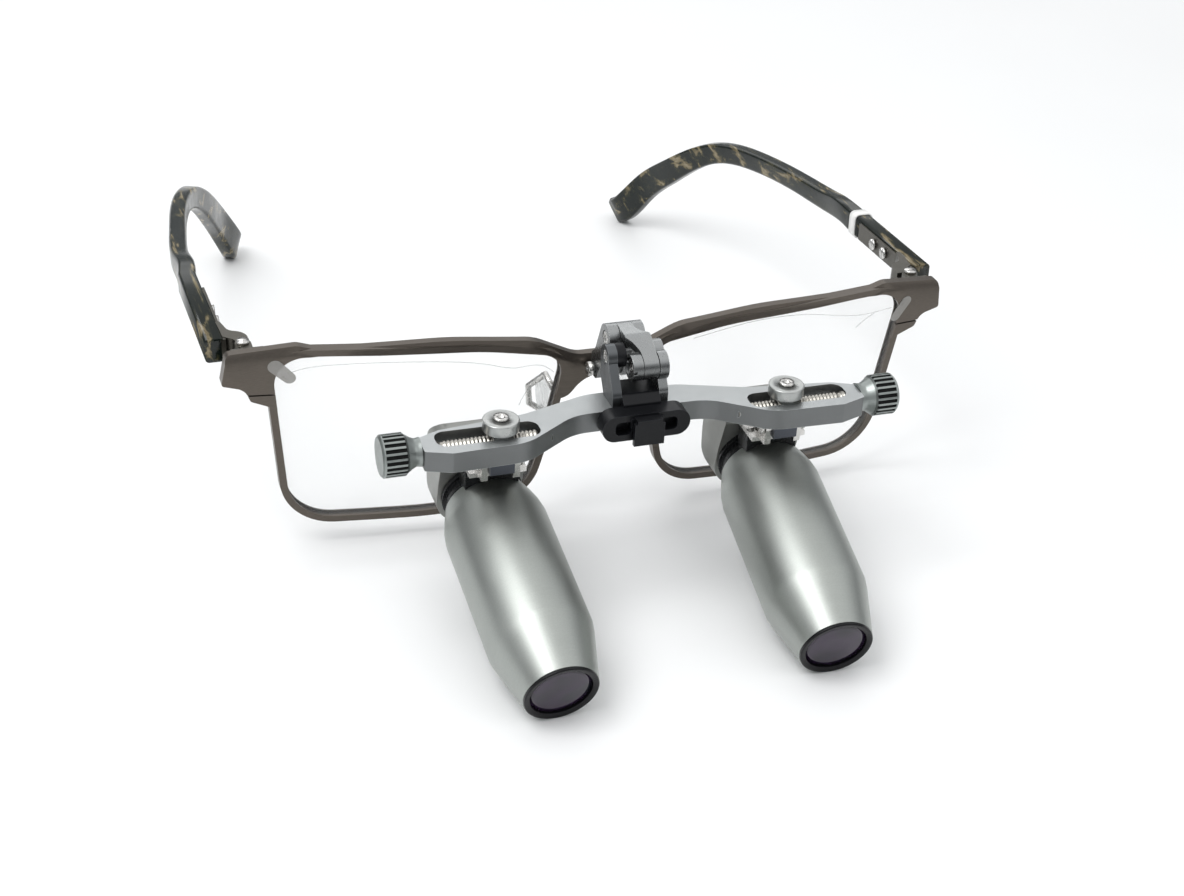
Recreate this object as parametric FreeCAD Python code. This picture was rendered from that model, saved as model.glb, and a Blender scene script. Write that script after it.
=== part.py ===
import FreeCAD, Part
import math
import os

# Dental loupes: a spectacle frame with a flip-up magnifier group on its bridge. Millimetres.
# +X is the wearer's left, the front faces -Y, the temples run towards +Y, +Z is up.
# Working height zero is the table: the objective rims and the temple tips rest on it.
# At the end everything is shifted along Y so that the origin is the bottom centre of the whole.

V = FreeCAD.Vector

# ---------------------------------------------------------------- driving dimensions
# spectacle front
front_half_width = 70.0
front_bow_radius = 495.0      # plan radius of the bowed front
front_centre_y = -4.95        # front surface at x = 0, at height front_ref_z
front_ref_z = 42.0
front_lean = 0.109            # how far the top leans forward, per mm of height
eyewire_depth = 2.3
eyewire_width = 1.35
brow_depth = 2.6
brow_bevel_drop = 1.5         # bevel along the brow's top edge
brow_bevel_depth = 1.0
rim_setback = 0.3             # eyewire behind the brow's front
seam_z = 34.9
seam_height = 0.35            # slit of the rim lock
lens_thickness = 1.5
lens_setback = 0.8
lens_bevel = 0.45             # how far the lens sits inside the eyewire
lens_gap = 0.03

# nose pads
pad_wire_radius = 0.6
pad_length = 13.0
pad_width = 7.4
pad_thickness = 2.4
pad_centre = V(8.2, 5.6, 22.0)
pad_splay = 24.0              # the pad faces turn towards the nose, degrees
pad_socket = V(9.7, 5.4, 22.0)
pad_play = 0.1
pad_slot_play = 0.5
pad_round = 0.95
pad_lean = 12.0

# temples
end_piece_overhang = 4.4      # from the hinge pin out to the tip of the front
hinge_x = front_half_width - end_piece_overhang
hinge_set_back = 5.784         # pin's axis behind the front surface
hinge_y = front_centre_y + hinge_set_back + front_bow_radius - math.sqrt(front_bow_radius ** 2 - hinge_x ** 2)
hinge_radius = 1.5
hinge_screw_radius = 0.6
knuckle_height = 1.9
knuckle_gap = 0.08
running_gap = 0.05
temple_x = hinge_x + 4.6      # centre of the temple's front end
temple_y = hinge_y + 3.6
temple_z = 40.3
temple_thickness = 3.5
temple_height = 4.7
temple_straight = 32.0        # length before the temple starts to curve
temple_toe_out = 0.7          # degrees outwards
temple_drop = 3.8             # degrees downwards
temple_corner = 0.8
tip_x = temple_x - 20.5       # centre of the ear hook's end face
tip_y = temple_y + 120.4
tip_height = 6.9
tip_pitch = 44.0
tip_round = 0.4355
strap_clear = 2.2             # from the hinge pin back to the taller strap
core_thickness = 0.9
core_height = 3.6
core_length = 25.0
band_width = 2.6
band_wall = 0.35
band_at = 27.6

# flip-up linkage on the bridge
rear_pivot_y = -11.4
rear_pivot_z = 45.4
clamp_screw_y = -6.4
clamp_screw_z = 36.6
clamp_screw_radius = 0.7
front_pivot_y = -19.5
front_pivot_z = 43.5
knuckle_outer = 2.45
rear_knuckle_outer = 2.7
pivot_pin_radius = 0.9
ear_inner = 1.45              # half gap between the bracket's ears
ear_outer = 3.4
link_plate = 1.25
ring_left = -1.45             # pivot ring and link knuckle share the front pivot
ring_right = 0.55
link_knuckle_right = 3.35
side_gap = 0.08
yoke_inner = 3.5
yoke_outer = 5.2
arm_depth = 4.4
stop_y = -16.7
stop_z = 44.7
stop_radius = 2.25

# crossbar
bar_top = 37.2
bar_height = 3.9
bar_half_length = 40.8
bar_axis_y = -25.4            # centre line of the slots and the lead screws
bar_half_width = 4.8
bar_centre_y = -19.6
bar_centre_half_width = 3.2
slot_inner = 19.6
slot_outer = bar_half_length - 2.6
slot_half_width = 2.5
saddle_wall = 1.5
mount_width = 16.4            # block for a headlight, on the front of the bar
mount_height = 5.1
mount_depth = 3.4
mount_rise = 1.9              # its middle above the bar's underside
rail_half = 2.3
rail_depth = 1.7
pocket_width = 3.1

# lead screws, knobs and sliders
screw_radius = 1.45
thread_depth = 0.22
thread_pitch = 0.7
knob_radius = 3.8
knob_length = 4.5
knob_neck_radius = 2.6
knob_neck_length = 2.6
knob_flutes = 22
flute_radius = 0.34
slider_x = 26.6
slider_half = 1.8
slider_side_gap = 0.06
disc_radius = 3.25
disc_thickness = 2.1
disc_lift = 0.6
disc_screw_radius = 1.35
disc_socket = 0.65
disc_screw_clear = 0.25       # between that screw's end and the lead screw

# barrels
neck_x = 26.76                # where the barrel's axis leaves its rear face
neck_y = -18.16
neck_z = 17.85
barrel_drop = 15.2            # degrees below horizontal
barrel_toe = 2.4              # degrees of convergence
objective_radius = 6.65
barrel_radius = 9.45
barrel_length = 43.6
barrel_cone = 11.0
barrel_wall = 1.3
neck_length = 3.4
neck_radius = 7.5
housing_half_width = 7.7
housing_wall = 1.2
eyepiece_radius = 5.2
tilt_pin_y = -25.2
tilt_pin_z = 31.2
tilt_pin_radius = 0.7
tilt_block_half = 2.2

bar_bottom = bar_top - bar_height
screw_z = bar_bottom + bar_height / 2
disc_screw_reach = bar_top + disc_lift - screw_z - screw_radius - disc_screw_clear

parts = {}


# ---------------------------------------------------------------- drawing helpers
def rounded_points(corners):
    """Edges of a closed outline: straight runs joined by tangent arcs. corners = (a, b, radius)."""
    edges = []
    count = len(corners)
    runs = []
    for i in range(count):
        a, b, radius = corners[i]
        before = corners[i - 1]
        after = corners[(i + 1) % count]
        here = V(a, b, 0)
        back = V(before[0] - a, before[1] - b, 0).normalize()
        ahead = V(after[0] - a, after[1] - b, 0).normalize()
        if radius <= 0:
            runs.append((here, None, here))
            continue
        half = back.getAngle(ahead) / 2
        reach = radius / math.tan(half)
        middle = (back + ahead).normalize() * (radius / math.sin(half) - radius)
        runs.append((here + back * reach, here + middle, here + ahead * reach))
    for i in range(count):
        start, top, end = runs[i]
        if top is not None:
            edges.append(Part.Arc(start, top, end).toShape())
        following = runs[(i + 1) % count][0]
        if end.distanceToPoint(following) > 1e-6:
            edges.append(Part.makeLine(end, following))
    return edges


def outline(corners, plane):
    """Closed wire of rounded corners in the plane xy, xz or yz."""
    wire = Part.Wire(Part.__sortEdges__(rounded_points(corners)))
    if plane == "xz":
        wire.rotate(V(0, 0, 0), V(1, 0, 0), 90)
    if plane == "yz":
        wire.rotate(V(0, 0, 0), V(1, 1, 1), 120)
    return wire


def prism(corners, plane, low, high):
    """Solid with the outline's shape between two heights along the plane's normal."""
    direction = {"xy": V(0, 0, 1), "xz": V(0, 1, 0), "yz": V(1, 0, 0)}[plane]
    wire = outline(corners, plane)
    wire.translate(direction * low)
    return Part.Face(wire).extrude(direction * (high - low))


def cylinder_x(radius, x_low, x_high, y, z):
    return Part.makeCylinder(radius, x_high - x_low, V(x_low, y, z), V(1, 0, 0))


def tube_x(outer, inner, x_low, x_high, y, z):
    return cylinder_x(outer, x_low, x_high, y, z).cut(cylinder_x(inner, x_low - 1, x_high + 1, y, z))


def box(x0, x1, y0, y1, z0, z1):
    return Part.makeBox(x1 - x0, y1 - y0, z1 - z0, V(x0, y0, z0))


def turned(profile):
    """Solid of revolution about Z from (height, radius) points."""
    points = [V(r, 0, h) for h, r in profile]
    points.append(points[0])
    return Part.Face(Part.makePolygon(points)).revolve(V(0, 0, 0), V(0, 0, 1), 360)


def joined(shapes):
    whole = shapes[0]
    for shape in shapes[1:]:
        whole = whole.fuse(shape)
    return whole.removeSplitter()


def mirrored(shape):
    return shape.mirror(V(0, 0, 0), V(1, 0, 0))


def both_sides(name, shape):
    """Store a wearer's-left piece and its mirror image."""
    parts[name + "_left"] = shape
    parts[name + "_right"] = mirrored(shape)


def hexagon_hole(radius, depth, centre, direction):
    """Six-sided socket cutter, sunk against the given direction."""
    points = []
    for i in range(7):
        angle = math.radians(60 * i)
        points.append(V(radius * math.cos(angle), radius * math.sin(angle), 0))
    cutter = Part.Face(Part.makePolygon(points)).extrude(V(0, 0, -depth))
    cutter.Placement = FreeCAD.Placement(centre, FreeCAD.Rotation(V(0, 0, 1), direction))
    return cutter


# ---------------------------------------------------------------- spectacle front
def front_slab(offset, depth):
    """Bowed, leaning slab that gives every front piece its curve; offset is behind the front."""
    reach = front_half_width + 20
    centre_y = front_centre_y + front_lean * front_ref_z + front_bow_radius
    bottom = -5.0
    height = 70.0
    edges = []
    rows = []
    for radius in (front_bow_radius - offset, front_bow_radius - offset - depth):
        drop = math.sqrt(radius * radius - reach * reach)
        left = V(-reach, centre_y - drop, 0)
        top = V(0, centre_y - radius, 0)
        right = V(reach, centre_y - drop, 0)
        rows.append((left, right))
        edges.append(Part.Arc(left, top, right).toShape())
    edges.append(Part.makeLine(rows[0][0], rows[1][0]))
    edges.append(Part.makeLine(rows[0][1], rows[1][1]))
    wire = Part.Wire(Part.__sortEdges__(edges))
    wire.translate(V(0, -front_lean * bottom, bottom))
    return Part.Face(wire).extrude(V(0, -front_lean * height, height))


def lens_corners():
    """Opening of the wearer's-left eyewire, seen from the front."""
    return [(61.8, 43.0, 5.5), (58.4, 6.4, 9.0), (33.0, 5.6, 90.0), (14.4, 6.8, 9.0),
            (10.6, 24.0, 40.0), (8.3, 38.6, 4.5), (24.0, 41.4, 60.0)]


def brow_corners():
    """Half of the brow bar with its end piece; mirrored for the other side."""
    tip = front_half_width
    return [(-1.0, 38.2, 0), (6.0, 38.2, 6.0), (14.0, 42.2, 9.0), (30.0, 43.8, 60.0), (53.0, 43.6, 3.0),
            (57.0, 44.8, 3.0), (tip - 0.6, 43.4, 1.2), (tip + 0.4, 37.4, 0.5), (66.4, 36.4, 2.5),
            (65.4, 33.8, 0.8), (61.5, 32.2, 0.8), (58.0, 30.0, 0), (58.0, 38.0, 2.0),
            (54.0, 41.0, 2.0), (20.0, 39.0, 3.0), (12.0, 35.5, 3.0), (9.5, 29.0, 1.0),
            (7.2, 29.5, 3.0), (4.5, 33.4, 6.0), (-1.0, 34.4, 0)]


def eyewire_face(offset):
    face = Part.Face(outline(lens_corners(), "xz"))
    if offset == 0:
        return face
    return face.makeOffset2D(offset)


def through(face):
    """Prism of a face in the XZ plane along the whole depth of the front."""
    start = face.copy()
    start.translate(V(0, -40, 0))
    return start.extrude(V(0, 80, 0))


def brow_bevel():
    """Mitred wedge that bevels the front top edge of the brow."""
    tip = front_half_width
    ridge = [(-1.0, 38.2), (6.0, 38.2), (9.9, 40.2), (14.0, 42.2), (22.0, 43.0), (30.0, 43.8), (41.5, 43.7),
             (53.0, 43.6), (57.0, 44.8), (tip - 0.6, 43.4), (tip + 4.0, 42.9)]
    sections = []
    for i, (x, z) in enumerate(ridge):
        before = ridge[max(i - 1, 0)]
        after = ridge[min(i + 1, len(ridge) - 1)]
        run = V(after[0] - before[0], 0, after[1] - before[1]).normalize()
        up = V(-run.z, 0, run.x)
        low = V(x, 0, z) - up * brow_bevel_drop
        low.y = front_y(low.x, low.z)
        high = V(x, front_y(x, z) + brow_bevel_depth, z)
        slope = high - low
        corner = V(x, low.y - 4, z) + up * 4
        points = [low - slope * 0.6, high + slope * 0.6, corner]
        sections.append(Part.makePolygon(points + points[:1]))
    return Part.makeLoft(sections, True, True)


def front_half():
    """Wearer's-left half of the front: brow, eyewire, lens groove and rim-lock slit."""
    brow = prism(brow_corners(), "xz", -40, 40).common(front_slab(0, brow_depth)).cut(brow_bevel())
    rim = through(eyewire_face(eyewire_width)).common(front_slab(rim_setback, eyewire_depth))
    half = brow.fuse(rim).cut(through(eyewire_face(0)))
    groove = through(eyewire_face(lens_bevel + lens_gap))
    half = half.cut(groove.common(front_slab(lens_setback - lens_gap, lens_thickness + 2 * lens_gap)))
    return half.cut(box(60.9, 67.5, -40, 40, seam_z, seam_z + seam_height))


def front_frame():
    half = front_half()
    return joined([half, mirrored(half)])


def lens():
    return through(eyewire_face(lens_bevel)).common(front_slab(lens_setback, lens_thickness))


def front_y(x, z):
    """Front surface of the spectacle front at a height."""
    sag = front_bow_radius - math.sqrt(front_bow_radius ** 2 - x * x)
    return front_centre_y + sag - front_lean * (z - front_ref_z)


def hinge_plate():
    """Hinge leaf on the back of the end piece, with the two outer knuckles."""
    top = hinge_knuckle_top()
    step = knuckle_height + knuckle_gap
    pieces = []
    for low in (top - knuckle_height, top - knuckle_height - 2 * step):
        barrel = Part.makeCylinder(hinge_radius, knuckle_height, V(hinge_x, hinge_y, low))
        web = box(hinge_x - hinge_radius, hinge_x + 0.6, 1.0, hinge_y, low, low + knuckle_height)
        pieces.append(barrel.fuse(web))
    low = top - 3 * knuckle_height - 2 * knuckle_gap
    leaf = box(hinge_x - 3.4, hinge_x + 2.6, 1.0, hinge_y - hinge_radius - 0.35, low, top)
    pieces.append(leaf)
    plate = joined(pieces)
    hole = Part.makeCylinder(hinge_screw_radius + 0.01, 20, V(hinge_x, hinge_y, low - 5))
    return plate.cut(hole).cut(front_slab(-20, 20 + brow_depth))


def hinge_knuckle_top():
    return temple_z + 1.5 * knuckle_height + knuckle_gap


def hinge_screws():
    """The two hinge screws, one for each temple."""
    top = hinge_knuckle_top()
    length = 3 * knuckle_height + 2 * knuckle_gap
    shank = Part.makeCylinder(hinge_screw_radius, length, V(hinge_x, hinge_y, top - length))
    head = Part.makeCylinder(1.15, 0.55, V(hinge_x, hinge_y, top))
    slot = box(hinge_x - 2, hinge_x + 2, hinge_y - 0.15, hinge_y + 0.15, top + 0.25, top + 1)
    screw = shank.fuse(head).removeSplitter().cut(slot)
    return Part.makeCompound([screw, mirrored(screw)])


# ---------------------------------------------------------------- temples
def temple_frame(shape):
    """Carry a shape from the temple's own frame (along +Y from its front end) into place."""
    shape.rotate(V(0, 0, 0), V(1, 0, 0), -temple_drop)
    shape.rotate(V(0, 0, 0), V(0, 0, 1), -temple_toe_out)
    shape.translate(V(temple_x, temple_y, temple_z))
    return shape


def temple_section(thickness, height):
    """Rounded rectangle in the XZ plane, centred on the path."""
    corner = temple_corner
    half = thickness / 2
    rise = height / 2
    corners = [(-half, -rise, corner), (half, -rise, corner), (half, rise, corner), (-half, rise, corner)]
    return outline(corners, "xz")


def temple_stations():
    """Centre, direction, thickness and height of each section after the straight part."""
    start = temple_frame(Part.Vertex(0, temple_straight, 0)).Point
    tip_rise = tip_height / 2 * math.cos(math.radians(tip_pitch)) + tip_round
    centres = [start, start + V(-0.3, 11.0, -0.9), start + V(-1.6, 26.0, -2.5), start + V(-3.9, 42.0, -4.5),
               start + V(-5.8, 50.6, -6.0), start + V(-8.4, 58.7, -8.6), start + V(-11.4, 66.0, -13.2),
               start + V(-14.3, 73.5, -19.4), start + V(-17.3, 80.9, -26.4), V(tip_x, tip_y, tip_rise)]
    heights = [temple_height, 4.4, 4.1, 4.2, 4.4, 4.8, 5.4, 6.1, 6.6, tip_height]
    curve = Part.BSplineCurve()
    first = temple_frame(Part.Vertex(0, temple_straight + 1, 0)).Point - start
    curve.interpolate(Points=centres, InitialTangent=first, FinalTangent=V(-3.6, 7.8, -8.4))
    stations = []
    for centre, height in zip(centres, heights):
        along = curve.tangent(curve.parameter(centre))[0]
        stations.append((centre, along, temple_thickness, height))
    end, along, thickness, height = stations[-1]
    stations.append((end + along * 0.9, along, thickness - 0.4, height - 0.5))
    stations.append((end + along * 1.5, along, thickness - 1.3, height - 1.8))
    return stations


def temple_sleeve():
    """Acetate outer: a straight front part, then a smooth bend into the ear hook."""
    straight = Part.Face(temple_section(temple_thickness, temple_height)).extrude(V(0, temple_straight, 0))
    recess = box(-temple_thickness, -temple_thickness / 2 + core_thickness / 2, -1, core_length,
                 -core_height / 2, core_height / 2)
    straight = temple_frame(straight.cut(recess))
    sections = []
    for centre, along, thickness, height in temple_stations():
        wire = temple_section(thickness, height)
        wire.rotate(V(0, 0, 0), V(1, 0, 0), math.degrees(math.asin(along.z)))
        wire.rotate(V(0, 0, 0), V(0, 0, 1), math.degrees(math.atan2(-along.x, along.y)))
        wire.translate(centre)
        sections.append(wire)
    bend = Part.makeLoft(sections[:-2], True, False)
    tip = Part.makeLoft(sections[-3:], True, True)
    return straight.fuse(bend).fuse(tip)


def temple_core():
    """Metal plate let into the sleeve, with the curved arm that carries the middle knuckle."""
    inner = -temple_thickness / 2 - core_thickness / 2
    plate = box(inner, inner + core_thickness, 0.4, core_length - 0.05, -core_height / 2 + 0.05,
                core_height / 2 - 0.05)
    plate = temple_frame(plate)
    low = temple_z - knuckle_height / 2
    knuckle = Part.makeCylinder(hinge_radius, knuckle_height, V(hinge_x, hinge_y, low))
    start_x = temple_x - temple_thickness / 2 + 0.1
    arm_corners = [(hinge_x - hinge_radius, hinge_y + 0.2, 0), (hinge_x + 0.9, hinge_y + 0.2, 0),
                   (hinge_x + 0.9, hinge_y + 3.6, 1.6), (start_x, hinge_y + 5.2, 0.8),
                   (start_x + 0.6, hinge_y + 11.0, 0.5), (start_x - 0.5, hinge_y + 11.0, 0.3),
                   (start_x - 1.4, hinge_y + 7.2, 2.0), (hinge_x - hinge_radius, hinge_y + 6.2, 3.0)]
    arm = prism(arm_corners, "xy", low, low + knuckle_height)
    strap_y = hinge_y + strap_clear
    strap_corners = [(hinge_x - hinge_radius, strap_y, 0), (hinge_x + 0.9, strap_y, 0)]
    half_core = core_height / 2
    strap = prism(strap_corners + arm_corners[2:], "xy", temple_z - half_core, temple_z + half_core)
    section = Part.Face(temple_section(temple_thickness + 0.1, temple_height + 0.1))
    room = section.extrude(V(0, temple_straight, 0))
    core = joined([plate, knuckle, arm.fuse(strap).cut(temple_frame(room))])
    hole = Part.makeCylinder(hinge_screw_radius + running_gap, 20, V(hinge_x, hinge_y, low - 8))
    return core.cut(hole)


def temple_rivets():
    """Two screws that hold the plate to the sleeve."""
    rivets = []
    inner = -temple_thickness / 2 - core_thickness / 2
    for along in (12.5, 17.5):
        head = Part.makeCylinder(1.15, 0.6, V(inner - 0.6, along, 0), V(1, 0, 0))
        slot = box(inner - 1, inner - 0.3, along - 0.14, along + 0.14, -2, 2)
        rivets.append(temple_frame(head.cut(slot)))
    return Part.makeCompound(rivets)


def temple_band():
    """Plain band round the sleeve, on the wearer's left only."""
    def block(wall):
        half = temple_thickness / 2 + wall
        rise = temple_height / 2 + wall
        corner = temple_corner + wall
        corners = [(-half, -rise, corner), (half, -rise, corner), (half, rise, corner), (-half, rise, corner)]
        return Part.Face(outline(corners, "xz")).extrude(V(0, band_width, 0))
    band = block(band_wall).cut(block(0.02))
    band.translate(V(0, band_at, 0))
    return temple_frame(band)


# ---------------------------------------------------------------- nose pads
def pad_arm():
    """Bent wire from the eyewire's nose side to the box behind the pad."""
    points = [V(9.4, -2.5, 30.0), V(9.5, 3.6, 30.6), V(12.2, 5.4, 27.4), V(12.0, 5.2, 23.8), pad_socket]
    pieces = []
    for start, end in zip(points[:-1], points[1:]):
        run = end - start
        pieces.append(Part.makeCylinder(pad_wire_radius, run.Length, start, run))
    for point in points[1:]:
        pieces.append(Part.makeSphere(pad_wire_radius, point))
    return joined(pieces).cut(front_slab(-20, 20 + rim_setback + eyewire_depth))


def nose_pad():
    """Soft oval pad with the socket its wire snaps into."""
    across = pad_width / 2
    along = pad_length / 2
    oval = [(-across, -along, across - 0.1), (across * 0.86, -along, across * 0.8),
            (across * 0.86, along, across * 0.8), (-across, along, across - 0.1)]
    pad = prism(oval, "yz", -pad_thickness / 2, pad_thickness / 2)
    pad = pad.makeFillet(pad_round, pad.Edges)
    pad.rotate(V(0, 0, 0), V(0, 1, 0), pad_lean)
    pad.rotate(V(0, 0, 0), V(0, 0, 1), pad_splay)
    pad.translate(pad_centre)
    pad = pad.cut(Part.makeSphere(pad_wire_radius + pad_play, pad_socket))
    return pad.cut(Part.makeCylinder(pad_wire_radius + pad_slot_play, 4, pad_socket, V(2.3, -0.2, 1.8)))


# ---------------------------------------------------------------- flip-up linkage
def ear_corners():
    """Side view of one bracket ear below its pivot eye."""
    y = rear_pivot_y
    z = rear_pivot_z
    return [(-3.0, 34.9, 0), (-7.6, 34.9, 1.0), (-9.4, 38.0, 3.0),
            (y - rear_knuckle_outer + 0.35, z - 1.2, 0),
            (y, z, 0), (y + rear_knuckle_outer - 0.15, z + 0.9, 0), (-6.3, 40.5, 4.0), (-3.0, 38.0, 0)]


def bridge_bracket():
    """Bracket on the bridge: two ears with the rear pivot's eye, and the base that joins them."""
    pieces = [prism([(-3.0, 35.0, 0), (-7.4, 35.0, 0.8), (-7.4, 38.2, 0.8), (-3.0, 38.2, 0)], "yz",
                    -ear_outer, ear_outer)]
    for low, high in ((-ear_outer, -ear_inner), (ear_inner, ear_outer)):
        pieces.append(prism(ear_corners(), "yz", low, high))
        pieces.append(cylinder_x(rear_knuckle_outer, low, high, rear_pivot_y, rear_pivot_z))
    bracket = joined(pieces)
    bracket = bracket.cut(cylinder_x(pivot_pin_radius, -9, 9, rear_pivot_y, rear_pivot_z))
    bracket = bracket.cut(cylinder_x(clamp_screw_radius, -9, ear_outer - 0.5, clamp_screw_y, clamp_screw_z))
    recess = cylinder_x(1.45, -ear_outer - 1, -ear_outer + 0.7, rear_pivot_y, rear_pivot_z)
    return bracket.cut(recess).cut(front_slab(0, 30))


def bracket_screw():
    """Cross screw that clamps the bracket's base, with its head on the wearer's right."""
    shank = cylinder_x(clamp_screw_radius, -ear_outer, ear_outer - 0.5, clamp_screw_y, clamp_screw_z)
    head = cylinder_x(1.3, -ear_outer - 1.3, -ear_outer, clamp_screw_y, clamp_screw_z)
    centre = V(-ear_outer - 1.31, clamp_screw_y, clamp_screw_z)
    return shank.fuse(head).removeSplitter().cut(hexagon_hole(0.6, 0.6, centre, V(-1, 0, 0)))


def rear_pivot_pin():
    """Pin through the bracket's ears, with a socket head on the wearer's right."""
    shank = cylinder_x(pivot_pin_radius, -ear_outer + 0.2, ear_outer, rear_pivot_y, rear_pivot_z)
    head = cylinder_x(1.35, -ear_outer + 0.05, -ear_outer + 0.65, rear_pivot_y, rear_pivot_z)
    centre = V(-ear_outer + 0.04, rear_pivot_y, rear_pivot_z)
    return shank.fuse(head).removeSplitter().cut(hexagon_hole(0.6, 0.5, centre, V(-1, 0, 0)))


def pivot_link():
    """Waisted link between the rear and the front pivots, arched over the stop boss."""
    left = -ear_inner + side_gap
    right = ear_inner - side_gap
    top = rear_pivot_z + rear_knuckle_outer
    y = rear_pivot_y
    side = [(y, top, 0), (-16.2, top, 4.0), (front_pivot_y - 1.9, front_pivot_z + 1.55, 0),
            (front_pivot_y - 0.3, front_pivot_z + 1.2, 0), (-15.8, top - link_plate - 0.1, 3.0),
            (y, top - link_plate, 0)]
    plate = prism(side, "yz", left, link_knuckle_right)
    plan = [(left, y + 1.0, 0), (left, -16.4, 0), (-0.4, -17.4, 2.5), (ring_right + side_gap, -19.2, 2.0),
            (ring_right + side_gap, -25.0, 0), (link_knuckle_right, -25.0, 0),
            (link_knuckle_right, -15.6, 0.6),
            (2.2, -15.0, 2.5), (right, -13.6, 2.0), (right, y + 1.0, 0)]
    plate = plate.common(prism(plan, "xy", 40, 60))
    rear_eye = cylinder_x(rear_knuckle_outer, left, right, y, rear_pivot_z)
    ring_face = ring_right + side_gap
    front_eye = cylinder_x(knuckle_outer, ring_face, link_knuckle_right, front_pivot_y, front_pivot_z)
    link = joined([plate, rear_eye, front_eye])
    link = link.cut(cylinder_x(knuckle_outer + side_gap, -9, ring_face, front_pivot_y, front_pivot_z))
    link = link.cut(cylinder_x(pivot_pin_radius + running_gap, -9, 9, y, rear_pivot_z))
    return link.cut(cylinder_x(pivot_pin_radius + running_gap, -9, 9, front_pivot_y, front_pivot_z))


def arm_leg(low, high):
    """Upright of the yoke, from the crossbar up to the stop boss's axis."""
    half = arm_depth / 2
    side = [(-22.2, bar_top, 0), (-22.2, 39.6, 2.0), (stop_y - stop_radius + 0.1, stop_z - 0.4, 0),
            (stop_y, stop_z, 0), (stop_y + stop_radius - 0.05, stop_z - 0.5, 0),
            (stop_y + half - 0.4, 40.5, 3.0), (-17.2, bar_top, 0)]
    return prism(side, "yz", low, high)


def yoke_arm():
    """Right-hand upright of the yoke, with a rounded head."""
    arm = joined([arm_leg(-yoke_outer, -yoke_inner),
                  cylinder_x(stop_radius, -yoke_outer, -yoke_inner, stop_y, stop_z)])
    arm = arm.cut(cylinder_x(0.8, -9, 0, stop_y, stop_z))
    return arm.cut(cylinder_x(1.35, -9, -yoke_outer + 0.6, stop_y, stop_z))


def yoke_plate():
    """Left-hand upright of the yoke: two round lobes over a straight leg."""
    plate = joined([arm_leg(yoke_inner, yoke_outer),
                    cylinder_x(stop_radius, yoke_inner, yoke_outer, stop_y, stop_z),
                    cylinder_x(knuckle_outer + 0.15, yoke_inner, yoke_outer, front_pivot_y, front_pivot_z)])
    return plate.cut(cylinder_x(pivot_pin_radius, 0, 9, front_pivot_y, front_pivot_z))


def front_pivot_screw():
    """Shaft of the front pivot, fixed in the yoke plate and in the pivot ring."""
    return cylinder_x(pivot_pin_radius, ring_left + 0.35, yoke_outer - 0.1, front_pivot_y, front_pivot_z)


def pivot_ring():
    """Slotted friction nut on the front pivot."""
    ring = tube_x(knuckle_outer, pivot_pin_radius, ring_left, ring_right, front_pivot_y, front_pivot_z)
    recess = tube_x(1.9, pivot_pin_radius, ring_left - 1, ring_left + 0.3, front_pivot_y, front_pivot_z)
    slot = box(ring_left - 1, ring_left + 0.7, front_pivot_y - 3, front_pivot_y + 3,
               front_pivot_z - 0.28, front_pivot_z + 0.28)
    return ring.cut(recess).cut(slot)


def stop_boss():
    """Round stop on the inside of the yoke arm."""
    boss = tube_x(stop_radius, 0.8, -yoke_inner, -yoke_inner + 1.75, stop_y, stop_z)
    return boss


def stop_screw():
    shank = cylinder_x(0.8, -yoke_outer + 0.3, -yoke_inner + 1.6, stop_y, stop_z)
    head = cylinder_x(1.3, -yoke_outer + 0.1, -yoke_outer + 0.6, stop_y, stop_z)
    centre = V(-yoke_outer + 0.09, stop_y, stop_z)
    return shank.fuse(head).removeSplitter().cut(hexagon_hole(0.55, 0.4, centre, V(-1, 0, 0)))


def bar_saddle():
    """Saddle that ties the two uprights together over the middle of the crossbar."""
    front = bar_centre_y - bar_centre_half_width
    rear = bar_centre_y + bar_centre_half_width
    side = [(front - 0.6, bar_top, 0), (front - 0.6, bar_top + 1.0, 0.4),
            (front + 0.9, bar_top + saddle_wall + 0.9, 0.8),
            (rear + saddle_wall, bar_top + saddle_wall, 0.6), (rear + saddle_wall, bar_bottom + 0.4, 0.5),
            (rear + 0.02, bar_bottom + 0.4, 0), (rear + 0.02, bar_top, 0)]
    return prism(side, "yz", -yoke_inner, yoke_inner)


def bar_blank():
    """Plan shape of the crossbar, without its slots."""
    front = bar_centre_y - bar_centre_half_width
    rear = bar_centre_y + bar_centre_half_width
    wide_front = bar_axis_y - bar_half_width
    wide_rear = bar_axis_y + bar_half_width
    end = bar_half_length
    plan = [(-1.0, front, 0), (12.6, front - 0.2, 9.0), (22.8, wide_front + 0.3, 9.0),
            (end - 4.6, wide_front - 0.1, 1.0),
            (end, wide_front + 1.5, 0.3), (end, wide_rear - 3.4, 0.3), (end - 4.0, wide_rear - 1.7, 1.5),
            (21.0, wide_rear + 0.1, 14.0), (8.4, rear, 12.0), (-1.0, rear, 0)]
    half = prism(plan, "xy", bar_bottom, bar_top)
    return joined([half, mirrored(half)])


def crossbar():
    """Bar with a set-back middle and two slotted ends."""
    corner = 2.0
    low = bar_axis_y - slot_half_width
    high = bar_axis_y + slot_half_width
    slot = [(slot_inner, low, corner), (slot_outer, low, corner),
            (slot_outer, high, corner), (slot_inner, high, corner)]
    cutters = [prism(slot, "xy", bar_bottom - 1, bar_top + 1),
               cylinder_x(journal_radius() + running_gap, slot_inner - 2.2, slot_inner + 1,
                           bar_axis_y, screw_z),
               cylinder_x(screw_radius + running_gap, slot_outer - 1, bar_half_length + 1,
                           bar_axis_y, screw_z)]
    bar = bar_blank()
    for cutter in cutters:
        bar = bar.cut(cutter).cut(mirrored(cutter))
    return bar


def journal_radius():
    return screw_radius - 0.45


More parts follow.
